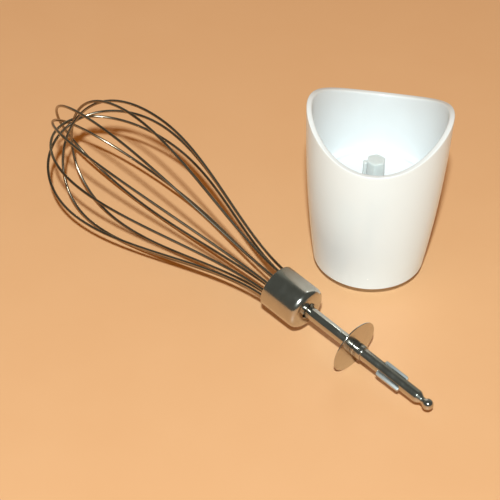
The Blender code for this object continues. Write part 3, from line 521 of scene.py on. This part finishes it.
# ---- drive post -----------------------------------------------------------------------
# Natural acetal post that the motor's socket turns: a round neck in the upper bush, then a
# hexagon with eased corners and a flat top, with one lower key rib on its side.
POST_OUTLINE = [(6.2, 44.0, 0.5), (6.2, 35.6, 0), (9.4, 35.6, 0.4), (9.4, 28.8, 0.3), (7.6, 28.8, 0.3),
                (7.6, 33.0, 0), (3.5, 33.0, 0), (3.5, 49.6, 0), (0.0, 49.6, 0), (0.0, 50.2, 0),
                (3.9, 50.2, 0), (3.9, 44.0, 0)]
POST_TURN = math.radians(2.7)
POST_CORNER_RADIUS = 4.7 * MM
POST_BOTTOM = 43.0 * MM
POST_TOP = 58.0 * MM
POST_EASE = 0.5 * MM
KEY_ANGLE = math.radians(227)
KEY_REACH = 6.0 * MM
KEY_HALF_WIDTH = 1.3 * MM
KEY_BOTTOM = 43.5 * MM
KEY_TOP = 57.0 * MM
post = turned("drive_post_fine", rounded(POST_OUTLINE), 96, Matrix.Translation(COLLAR))


def prism(name, outline, low, high, ease, where):
    """A straight bar of the given outline with its edges rounded."""
    cloth = bmesh.new()
    ring = [cloth.verts.new((x, y, low)) for x, y in outline]
    face = cloth.faces.new(ring)
    top = bmesh.ops.extrude_face_region(cloth, geom=[face])
    verts = [v for v in top["geom"] if isinstance(v, bmesh.types.BMVert)]
    bmesh.ops.translate(cloth, verts=verts, vec=(0, 0, high - low))
    bmesh.ops.recalc_face_normals(cloth, faces=cloth.faces)
    bmesh.ops.bevel(cloth, geom=cloth.edges[:], offset=ease, segments=4, profile=0.5, affect='EDGES')
    return finished(name, cloth, 30, where)


corner_angles = [POST_TURN + math.pi / 3 * i for i in range(6)]
hexagon = prism("post_hexagon", [(POST_CORNER_RADIUS * math.cos(a), POST_CORNER_RADIUS * math.sin(a))
                                 for a in corner_angles],
                POST_BOTTOM, POST_TOP, POST_EASE, Matrix.Translation(COLLAR))
key = prism("post_key", [(0.0, -KEY_HALF_WIDTH), (KEY_REACH, -KEY_HALF_WIDTH),
                         (KEY_REACH, KEY_HALF_WIDTH), (0.0, KEY_HALF_WIDTH)],
            KEY_BOTTOM, KEY_TOP, POST_EASE, Matrix.Translation(COLLAR) @ Matrix.Rotation(KEY_ANGLE, 4, 'Z'))
merged(post, [hexagon, key])

# Natural acetal: milky and slightly see-through at its edges, waxy rather than glossy.
acetal, tree, shader = material("natural_acetal", Roughness=0.32, IOR=1.48, Subsurface_Weight=0.55,
                                Subsurface_Radius=(0.9, 1.0, 1.0), Subsurface_Scale=2.0 * MM)
place = add(tree, "ShaderNodeTexCoord").outputs["Object"]
flow = add(tree, "ShaderNodeTexNoise", {"Vector": place, "Scale": 1 / (3.5 * MM), "Detail": 4.0,
                                        "Distortion": 1.2}).outputs["Fac"]
tone = add(tree, "ShaderNodeMix", {"Factor": flow, "A": colour("#D3DCDB"), "B": colour("#E4E9E8")},
           data_type='RGBA').outputs["Result"]
tree.links.new(tone, shader.inputs["Base Color"])
gloss = add(tree, "ShaderNodeMapRange", {"Value": flow, "To Min": 0.24, "To Max": 0.4}).outputs["Result"]
tree.links.new(gloss, shader.inputs["Roughness"])
dress(post, acetal, "post_grey", "input", "drive_post")

# ---- whisk shaft ----------------------------------------------------------------------
# A 6 mm stainless rod, turned to a neck and a ball that snaps into the gearbox, with two flat
# ears pressed out of it that turn the whisk.  It is polished all over.
WHISK_TILT = math.radians(6.8)
WHISK_X = 28.34 * MM
WHISK_Y = -30.9 * MM
DISC_RADIUS = 13.3 * MM
DISC_FAR_FACE = 50.2 * MM
# The row lies on the splash disc's lower edge.
WHISK_Z = DISC_RADIUS * math.cos(WHISK_TILT) + DISC_FAR_FACE * math.sin(WHISK_TILT)
WHISK = Matrix.Translation((WHISK_X, WHISK_Y, WHISK_Z)) @ Matrix.Rotation(WHISK_TILT, 4, 'Y')
ALONG = WHISK @ Matrix.Rotation(math.pi / 2, 4, 'Y')

BALL_RADIUS = 2.65
BALL_STATION = 95.3
ball = [(BALL_RADIUS * math.sin(a), BALL_STATION + BALL_RADIUS * math.cos(a), 0)
        for a in (math.radians(6 * i) for i in range(24))]
SHAFT_OUTLINE = ball + [(1.6, 92.9, 0.3), (1.6, 91.8, 0.8), (2.9, 89.6, 0.4), (3.0, 88.6, 0),
                        (3.0, 6.0, 0), (0.0, 6.0, 0)]
shaft = turned("whisk_shaft_fine", rounded(SHAFT_OUTLINE), 96, ALONG)
EAR_START = 66.8 * MM
EAR_END = 80.4 * MM
EAR_REACH = 4.2 * MM
EAR_HALF_THICKNESS = 0.9 * MM
EAR_CORNER = 0.98 * MM
EARS = WHISK @ Matrix.Rotation(math.radians(24), 4, 'X')


def plate(name, low, high, bottom, top, ease):
    """A flat tongue between the ears' stations, low to high across the rod, round at its corners."""
    corner = min(EAR_CORNER, (high - low) / 2.02)
    points = []
    for x, y, quarter in ((EAR_END - corner, high - corner, 0), (EAR_START + corner, high - corner, 1),
                          (EAR_START + corner, low + corner, 2), (EAR_END - corner, low + corner, 3)):
        for step in range(9):
            angle = math.pi / 2 * (quarter + step / 8)
            points.append((x + corner * math.cos(angle), y + corner * math.sin(angle)))
    return prism(name, points, bottom, top, ease, EARS)


# The press takes a pocket out of the rod beside each face of each ear.
POCKET_ACROSS = (2.1 * MM, 6.0 * MM)
POCKET_DEEP = (EAR_HALF_THICKNESS, 5.0 * MM)
pockets = []
for side in (1, -1):
    for face in (1, -1):
        low, high = sorted(side * edge for edge in POCKET_ACROSS)
        bottom, top = sorted(face * edge for edge in POCKET_DEEP)
        pockets.append(plate("pocket", low, high, bottom, top, 0.05 * MM))
cut(shaft, pockets)
ears = plate("whisk_ears", -EAR_REACH, EAR_REACH, -EAR_HALF_THICKNESS, EAR_HALF_THICKNESS, 0.25 * MM)

# Polished stainless: a warm mirror with nine polishing lines to the millimetre round the rod,
# fine scratches, and faint finger smears that dull it here and there.
polished_steel, tree, shader = material("polished_stainless_steel", Metallic=1.0, Roughness=0.1)
place = add(tree, "ShaderNodeTexCoord").outputs["Object"]
local = add(tree, "ShaderNodeMapping", {
    "Vector": place, "Location": (WHISK_X, WHISK_Y, WHISK_Z), "Rotation": (0, WHISK_TILT, 0)},
    vector_type='TEXTURE').outputs["Vector"]
smears = add(tree, "ShaderNodeTexNoise", {"Vector": local, "Scale": 1 / (5 * MM), "Detail": 6.0,
                                          "Roughness": 0.65}).outputs["Fac"]
gloss = add(tree, "ShaderNodeMapRange", {"Value": smears, "From Min": 0.3, "From Max": 0.75, "To Min": 0.12,
                                         "To Max": 0.28}).outputs["Result"]
tree.links.new(gloss, shader.inputs["Roughness"])
tone = add(tree, "ShaderNodeMix", {"Factor": smears, "A": colour("#CDC9C1"), "B": colour("#B8B3A9")},
           data_type='RGBA').outputs["Result"]
tree.links.new(tone, shader.inputs["Base Color"])
squeezed = add(tree, "ShaderNodeMapping", {
    "Vector": local, "Scale": (9 / MM, 0.5 / MM, 0.5 / MM)}).outputs["Vector"]
lines = add(tree, "ShaderNodeTexNoise", {"Vector": squeezed, "Scale": 1.0, "Detail": 2.0}).outputs["Fac"]
specks = add(tree, "ShaderNodeTexNoise", {
    "Vector": local, "Scale": 1 / (0.35 * MM), "Detail": 3.0}).outputs["Fac"]
relief = add(tree, "ShaderNodeMath", {0: specks, 1: 0.6, 2: lines}, operation='MULTIPLY_ADD').outputs[0]
bump = add(tree, "ShaderNodeBump", {
    "Height": relief, "Strength": 0.1, "Distance": 0.012 * MM}).outputs["Normal"]
tree.links.new(bump, shader.inputs["Normal"])
dress(shaft, polished_steel, "polished_steel", "whisk", "whisk_shaft")

# Stamped stainless: the press leaves the ears' faces satin, bright with fine pits.
stamped_steel, tree, shader = material("stamped_stainless_steel", Metallic=1.0, Roughness=0.5)
place = add(tree, "ShaderNodeTexCoord").outputs["Object"]
frost = add(tree, "ShaderNodeTexNoise", {
    "Vector": place, "Scale": 1 / (0.5 * MM), "Detail": 4.0}).outputs["Fac"]
tone = add(tree, "ShaderNodeMix", {"Factor": frost, "A": colour("#D6D6D3"), "B": colour("#C2C3C1")},
           data_type='RGBA').outputs["Result"]
tree.links.new(tone, shader.inputs["Base Color"])
gloss = add(tree, "ShaderNodeMapRange", {"Value": frost, "To Min": 0.46, "To Max": 0.6}).outputs["Result"]
tree.links.new(gloss, shader.inputs["Roughness"])
pits = add(tree, "ShaderNodeBump", {
    "Height": frost, "Strength": 0.25, "Distance": 0.03 * MM}).outputs["Normal"]
tree.links.new(pits, shader.inputs["Normal"])
dress(ears, stamped_steel, "polished_steel", "whisk")
for number in (1, 2, 3):
    finish_solid(f"planet_pin_{number}", polished_steel)

# ---- splash disc and hub --------------------------------------------------------------
# A stamped stainless washer that keeps food out of the gearbox, and the grooved sleeve behind
# it; both are pressed on the rod.
DISC_OUTLINE = [(3.05, 49.6, 0), (13.3, 49.6, 0.18), (13.3, 50.2, 0.18), (3.05, 50.2, 0)]
SLEEVE_OUTLINE = [(3.02, 50.25, 0), (3.6, 50.25, 0.15), (3.6, 51.5, 0.1), (3.35, 51.8, 0.1),
                  (3.6, 52.1, 0.1), (3.6, 56.0, 0.3), (3.02, 56.0, 0)]
disc = turned("splash_disc_fine", rounded(DISC_OUTLINE, 4), 128, ALONG)
dress(disc, polished_steel, "polished_steel", "whisk", "splash_disc")
sleeve = turned("disc_hub_fine", rounded(SLEEVE_OUTLINE, 3), 72, ALONG)
dress(sleeve, polished_steel, "polished_steel", "whisk", "disc_hub")

# ---- ferrule --------------------------------------------------------------------------
# A deep-drawn stainless cup over the wire ends.  Its closed end has a broad rounded shoulder
# and is pierced for the rod, which is held there by a rough bead of weld.
FERRULE_OUTLINE = [(3.9, 20.0, 0.2), (3.9, 21.1, 0.45), (10.8, 21.1, 3.4), (10.8, 0.0, 0.3),
                   (10.1, 0.0, 0.2), (10.1, 19.6, 2.6)]
ferrule = turned("ferrule_fine", rounded(FERRULE_OUTLINE, 12), 128, ALONG)
dress(ferrule, polished_steel, "polished_steel", "whisk", "ferrule")


def weld_spot(name, angle, radius, station, width, length):
    """A lump of weld on the rod: a squashed ball with a wavy surface."""
    cloth = bmesh.new()
    bmesh.ops.create_uvsphere(cloth, u_segments=32, v_segments=20, radius=1.0)
    for vertex in cloth.verts:
        x, y, z = vertex.co
        wave = 1 + 0.12 * math.sin(5 * x + 2 * z) + 0.08 * math.sin(9 * y + 4 * x) + 0.05 * math.sin(14 * z)
        vertex.co = (x * width * wave, y * width * wave, z * length * wave)
    spot = Matrix.Rotation(angle, 4, 'Z') @ Matrix.Translation((radius, 0, station))
    return finished(name, cloth, 60, ALONG @ spot)


bead = weld_spot("weld_bead", math.radians(150), 3.5 * MM, 20.9 * MM, 0.85 * MM, 0.9 * MM)
merged(bead, [weld_spot("weld_bead", math.radians(20), 3.3 * MM, 20.5 * MM, 0.7 * MM, 0.7 * MM),
              weld_spot("weld_bead", math.radians(265), 3.3 * MM, 20.6 * MM, 0.6 * MM, 0.6 * MM)])

# Weld on stainless, brushed once: darker than the rod, brown from the heat, and lumpy.
weld, tree, shader = material("heat_tinted_weld", Metallic=1.0, Roughness=0.4)
place = add(tree, "ShaderNodeTexCoord").outputs["Object"]
lumps = add(tree, "ShaderNodeTexNoise", {
    "Vector": place, "Scale": 1 / (0.6 * MM), "Detail": 4.0}).outputs["Fac"]
tone = add(tree, "ShaderNodeMix", {"Factor": lumps, "A": colour("#4A3B2C"), "B": colour("#A79C8A")},
           data_type='RGBA').outputs["Result"]
tree.links.new(tone, shader.inputs["Base Color"])
rough = add(tree, "ShaderNodeBump", {
    "Height": lumps, "Strength": 0.6, "Distance": 0.1 * MM}).outputs["Normal"]
tree.links.new(rough, shader.inputs["Normal"])
dress(bead, weld, "polished_steel", "whisk")

# ---- core plug and crimp ring ---------------------------------------------------------
# Zinc-plated plug inside the ferrule's mouth and the ring that presses the twelve wire ends
# against it; both stand a little back from the ferrule's edge.
CORE_OUTLINE = [(7.1, 15.6, 0), (7.1, 1.4, 0.5), (0.0, 1.4, 0), (0.0, 5.8, 0), (3.2, 5.8, 0), (3.2, 15.6, 0)]
CRIMP_OUTLINE = [(8.9, 14.6, 0), (8.9, 1.4, 0.3), (9.9, 1.4, 0.2), (9.9, 14.6, 0)]
core = turned("core_plug_fine", rounded(CORE_OUTLINE), 72, ALONG)
dress(core, zinc_plate, "zinc_steel", "whisk", "core_plug")
crimp = turned("crimp_ring_fine", rounded(CRIMP_OUTLINE), 72, ALONG)
dress(crimp, zinc_plate, "zinc_steel", "whisk", "crimp_ring")

# ---- wire loops -----------------------------------------------------------------------
# Six loops of hard-drawn stainless spring wire, 1.4 mm thick.  Their twelve ends stand on one
# circle in the ferrule; use has bent every loop a little, so no two are quite alike.
WIRE_RADIUS = 0.7 * MM
WIRE_FACETS = 16
WIRE_STEP = 1.1 * MM
# The next lengths and the loops' own are in millimetres.
WIRE_CIRCLE = 8.0
WIRE_END_DEPTH = 5.0
FIRST_LOOP_DEGREES = 51
CURVE_POINTS = 28
# Each loop: its turn in 30-degree steps, belly and its station on one side and on the other,
# the tip's reach and lean, and how far each belly and the tip stand out of the loop's plane.
LOOPS = (
    (0, 31.0, 95.5, 34.0, 108.5, 142.0, 1.5, 6.0, -5.5, 2.0),
    (-1, 29.5, 103.0, 34.5, 106.0, 146.0, -3.0, -1.5, -3.5, -2.0),
    (1, 30.5, 102.5, 30.5, 101.5, 144.0, 0.5, 0.5, 1.5, -1.0),
    (-2, 29.5, 94.0, 32.0, 104.5, 147.0, 3.0, 4.5, 0.0, 0.0),
    (2, 30.5, 102.5, 30.0, 106.5, 154.0, -2.5, 1.0, 0.5, 0.5),
    (-3, 31.0, 87.0, 31.0, 112.5, 149.0, 1.0, 0.0, -0.5, -1.0),
)


def bend(a, b, c, d):
    """Points of a cubic curve."""
    return [a * (1 - t) ** 3 + b * (3 * (1 - t) ** 2 * t) + c * (3 * (1 - t) * t * t) + d * t ** 3
            for t in (i / (CURVE_POINTS - 1) for i in range(CURVE_POINTS))]


def wire_side(side, belly, station, reach, lean, out, out_tip):
    """Half a loop, from its end in the ferrule over the belly to the tip."""
    end = Vector((0.0, side * WIRE_CIRCLE, 0.0))
    middle = Vector((station, side * belly, out))
    tip = Vector((reach, lean, out_tip))
    drift = Vector((1.0, 0.0, out / station))
    start = Vector((1.0, side * 0.05, 0.0)).normalized()
    rise = bend(end, end + start * 0.32 * station, middle - drift * 0.32 * station, middle)
    spread = Vector((0.0, side * abs(side * belly - lean) * 0.55, 0.0))
    dome = bend(middle, middle + drift * 0.61 * (reach - station), tip + spread, tip)
    return rise + dome[1:]


def wire_path(turn, belly_a, at_a, belly_b, at_b, reach, lean, out_a, out_b, out_tip):
    """The whole loop in the row's frame, both ends 5 mm inside the ferrule."""
    one = wire_side(1, belly_a, at_a, reach, lean, out_a, out_tip)
    other = wire_side(-1, belly_b, at_b, reach, lean, out_b, out_tip)
    ends = [Vector((-WIRE_END_DEPTH, side * WIRE_CIRCLE, 0.0)) for side in (1, -1)]
    path = ends[:1] + one + other[-2::-1] + ends[1:]
    angle = math.radians(FIRST_LOOP_DEGREES + 30 * turn)
    across = Vector((0.0, math.cos(angle), math.sin(angle)))
    beside = Vector((0.0, -math.sin(angle), math.cos(angle)))
    return [WHISK @ ((Vector((-p.x, 0.0, 0.0)) + across * p.y + beside * p.z) * MM) for p in path]


drawn_wire_tree = node_tree("drawn_wire", [
    ("Wire radius", 'NodeSocketFloat', WIRE_RADIUS), ("Facets", 'NodeSocketInt', WIRE_FACETS),
    ("Step", 'NodeSocketFloat', WIRE_STEP), ("Finish", 'NodeSocketMaterial', None)])
source = add(drawn_wire_tree, "NodeGroupInput").outputs
even = add(drawn_wire_tree, "GeometryNodeResampleCurve", {
    "Curve": source["Geometry"], "Length": source["Step"]}, mode='LENGTH').outputs["Curve"]
run = add(drawn_wire_tree, "GeometryNodeSplineParameter").outputs["Length"]
marked = add(drawn_wire_tree, "GeometryNodeStoreNamedAttribute", {
    "Geometry": even, "Name": "run", "Value": run}, data_type='FLOAT', domain='POINT').outputs["Geometry"]
section = add(drawn_wire_tree, "GeometryNodeCurvePrimitiveCircle", {
    "Resolution": source["Facets"], "Radius": source["Wire radius"]}).outputs["Curve"]
rolled = add(drawn_wire_tree, "GeometryNodeSplineParameter").outputs["Factor"]
round_section = add(drawn_wire_tree, "GeometryNodeStoreNamedAttribute", {
    "Geometry": section, "Name": "round", "Value": rolled},
    data_type='FLOAT', domain='POINT').outputs["Geometry"]
wire = add(drawn_wire_tree, "GeometryNodeCurveToMesh", {
    "Curve": marked, "Profile Curve": round_section, "Fill Caps": True}).outputs["Mesh"]
solid = add(drawn_wire_tree, "GeometryNodeRealizeInstances", {"Geometry": wire}).outputs["Geometry"]
finish = add(drawn_wire_tree, "GeometryNodeSetMaterial", {"Geometry": solid, "Material": source["Finish"]})
add(drawn_wire_tree, "NodeGroupOutput", {"Geometry": finish.outputs["Geometry"]})

# Hard-drawn stainless: greyer and duller than the polished parts, with die lines along the
# wire and a warm brown tone that is a painted reflection of the orange table, deeper in random patches.
DIE_LINES_ROUND = 24
drawn_wire, tree, shader = material("drawn_stainless_wire", Metallic=1.0, Roughness=0.22)
place = add(tree, "ShaderNodeTexCoord").outputs["Object"]
painted_reflection_patches = add(tree, "ShaderNodeTexNoise", {
    "Vector": place, "Scale": 1 / (14 * MM), "Detail": 5.0}).outputs["Fac"]
amount = add(tree, "ShaderNodeMapRange", {"Value": painted_reflection_patches, "From Min": 0.42, "From Max": 0.7}).outputs["Result"]
# Both tones are warmed by a painted reflection of the orange table.
tone = add(tree, "ShaderNodeMix", {"Factor": amount, "A": colour("#AA9A86"), "B": colour("#88745E")},
           data_type='RGBA').outputs["Result"]
tree.links.new(tone, shader.inputs["Base Color"])
gloss = add(tree, "ShaderNodeMapRange", {"Value": painted_reflection_patches, "To Min": 0.16, "To Max": 0.3}).outputs["Result"]
tree.links.new(gloss, shader.inputs["Roughness"])
along = add(tree, "ShaderNodeAttribute", attribute_name="run").outputs["Fac"]
about = add(tree, "ShaderNodeAttribute", attribute_name="round").outputs["Fac"]
flat = add(tree, "ShaderNodeCombineXYZ", {"X": along, "Y": about}).outputs[0]
stretched = add(tree, "ShaderNodeMapping", {
    "Vector": flat, "Scale": (0.06 / MM, DIE_LINES_ROUND, 1)}).outputs["Vector"]
die_lines = add(tree, "ShaderNodeTexNoise", {"Vector": stretched, "Scale": 1.0, "Detail": 3.0}).outputs["Fac"]
bump = add(tree, "ShaderNodeBump", {
    "Height": die_lines, "Strength": 0.25, "Distance": 0.02 * MM}).outputs["Normal"]
tree.links.new(bump, shader.inputs["Normal"])

for number, loop in enumerate(LOOPS, start=1):
    path = wire_path(*loop)
    line = bpy.data.curves.new("wire_path", 'CURVE')
    line.dimensions = '3D'
    spline = line.splines.new('POLY')
    spline.points.add(len(path) - 1)
    for point, spot in zip(spline.points, path):
        point.co = (*spot, 1.0)
    base = bpy.data.objects.new("wire_path", line)
    bpy.context.scene.collection.objects.link(base)
    wire = grown(f"wire_loop_{number}_fine", base, drawn_wire_tree, {
        "Wire radius": WIRE_RADIUS, "Facets": WIRE_FACETS, "Step": WIRE_STEP, "Finish": drawn_wire})
    wire.data.shade_smooth()
    wire.data.set_sharp_from_angle(angle=math.radians(60))
    dress(wire, drawn_wire, "bright_wire", "whisk", f"wire_loop_{number}")
finish_solid("ball_clip", drawn_wire)

# ---- table ----------------------------------------------------------------------------
# A plain pale laminate top, satin, with only the faintest mottle.  The light that it throws
# back on the pieces is kept paler than its own orange.
TABLE_REACH = 3.0
TABLE_GAP = 0.02 * MM
cloth = bmesh.new()
bmesh.ops.create_grid(cloth, x_segments=1, y_segments=1, size=TABLE_REACH)
table = finished("table", cloth, 40, Matrix.Translation((0, 0, -TABLE_GAP)))
laminate, tree, shader = material("pale_laminate", Roughness=0.42, IOR=1.45)
place = add(tree, "ShaderNodeTexCoord").outputs["Object"]
mottle = add(tree, "ShaderNodeTexNoise", {
    "Vector": place, "Scale": 1 / (45 * MM), "Detail": 3.0}).outputs["Fac"]
shown = add(tree, "ShaderNodeMix", {"Factor": mottle, "A": colour("#EBB684"), "B": colour("#EFBC8B")},
            data_type='RGBA').outputs["Result"]
diffuse = add(tree, "ShaderNodeLightPath").outputs["Is Diffuse Ray"]
tone = add(tree, "ShaderNodeMix", {"Factor": diffuse, "A": shown, "B": colour("#F7ECDC")},
           data_type='RGBA').outputs["Result"]
tree.links.new(tone, shader.inputs["Base Color"])
table.data.materials.append(laminate)
table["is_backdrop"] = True

# ---- light and camera -----------------------------------------------------------------
# One small cool soft box above the camera and the warm light of a room.  The steel shows that
# room dim behind the camera and paler beyond the table.
LAMP_SIZE = 0.075
LAMP_DISTANCE = 1.68
LAMP_ASIDE = math.radians(1.7)
LAMP_HEIGHT = math.radians(49.4)
CAMERA_DISTANCE = 1011.95 * MM
FOCAL_LENGTH = 147.4
LOOK_AT = Vector((-13.75 * MM, -4.58 * MM, 0.0))
BEARING = math.radians(-47.26)
HEIGHT = math.radians(40.17)
ROLL = math.radians(2.18)


def away(distance, bearing, height):
    """A point seen from the middle of the view at a bearing and a height."""
    return LOOK_AT + distance * Vector((math.cos(bearing) * math.cos(height),
                                        math.sin(bearing) * math.cos(height), math.sin(height)))


def aimed(thing, spot, roll=0.0):
    """Place a lamp or a camera so that it looks at the middle of the view."""
    thing.location = spot
    turn = (LOOK_AT - spot).to_track_quat('-Z', 'Y')
    thing.rotation_euler = (turn.to_matrix() @ Matrix.Rotation(roll, 3, 'Z')).to_euler()
    bpy.context.scene.collection.objects.link(thing)


lamp = bpy.data.lights.new("soft_box", 'AREA')
lamp.shape = 'DISK'
lamp.size = LAMP_SIZE
lamp.energy = 30.0
lamp.color = (0.84, 0.97, 1.0)
aimed(bpy.data.objects.new("soft_box", lamp), away(LAMP_DISTANCE, BEARING - LAMP_ASIDE, LAMP_HEIGHT))

world = bpy.data.worlds.new("room")
world.use_nodes = True
bpy.context.scene.world = world
tree = world.node_tree
sky = add(tree, "ShaderNodeTexCoord").outputs["Generated"]
beyond = Vector((-math.cos(BEARING), -math.sin(BEARING), 0.0))
facing = add(tree, "ShaderNodeVectorMath", {0: sky, 1: beyond}, operation='DOT_PRODUCT').outputs["Value"]
share = add(tree, "ShaderNodeMapRange", {"Value": facing, "From Min": 0.34, "From Max": 0.54},
            interpolation_type='SMOOTHSTEP').outputs["Result"]
shown = add(tree, "ShaderNodeMix", {"Factor": share, "A": colour("#565954"), "B": colour("#878A81")},
            data_type='RGBA').outputs["Result"]
diffuse = add(tree, "ShaderNodeLightPath").outputs["Is Diffuse Ray"]
tone = add(tree, "ShaderNodeMix", {"Factor": diffuse, "A": shown, "B": colour("#8E5D00")},
           data_type='RGBA').outputs["Result"]
tree.links.new(tone, tree.nodes["Background"].inputs["Color"])

view = bpy.data.cameras.new("camera")
view.sensor_width = 36.0
view.lens = FOCAL_LENGTH
view.clip_end = 20.0
camera = bpy.data.objects.new("camera", view)
aimed(camera, away(CAMERA_DISTANCE, BEARING, HEIGHT), ROLL)
bpy.context.scene.camera = camera
bpy.context.scene.view_settings.view_transform = 'Standard'

low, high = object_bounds()
